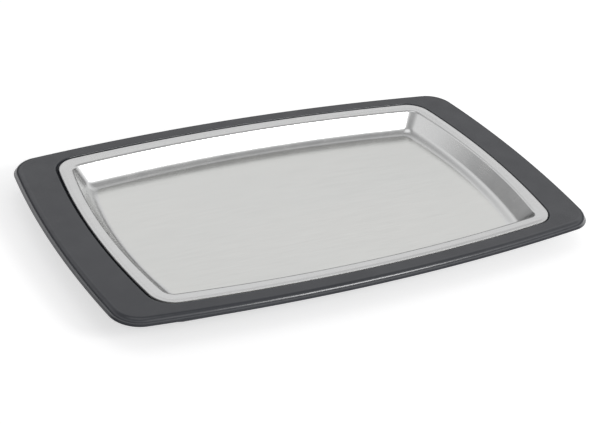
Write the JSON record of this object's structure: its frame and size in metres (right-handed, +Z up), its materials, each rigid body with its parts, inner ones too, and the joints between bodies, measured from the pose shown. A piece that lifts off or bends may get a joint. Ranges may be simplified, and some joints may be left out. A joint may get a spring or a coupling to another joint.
{
  "type": "serving tray",
  "caption": "Oblong serving tray: a pressed stainless dish rests in the recess of a dark moulded base with a wide flat rim, and lifts out.",
  "frame": {"origin": "middle of the flat face that the base rests on", "axes": "+X along the length, +Y across the width, +Z up out of the dish"},
  "size_m": [0.33, 0.1976, 0.02],
  "materials": {
    "charcoal_plastic": "charcoal moulded plastic, fine matt texture with a soft sheen",
    "stainless_steel": "stainless steel, satin floor with bright polished walls and rim"
  },
  "bodies": {
    "base": {"base": "charcoal_plastic"},
    "dish": {"dish": "stainless_steel"}
  },
  "joints": [
    {"name": "dish_lift", "type": "slide", "parent": "base", "child": "dish", "axis": [0, 0, 1], "range_m": [0, 0.06]}
  ]
}
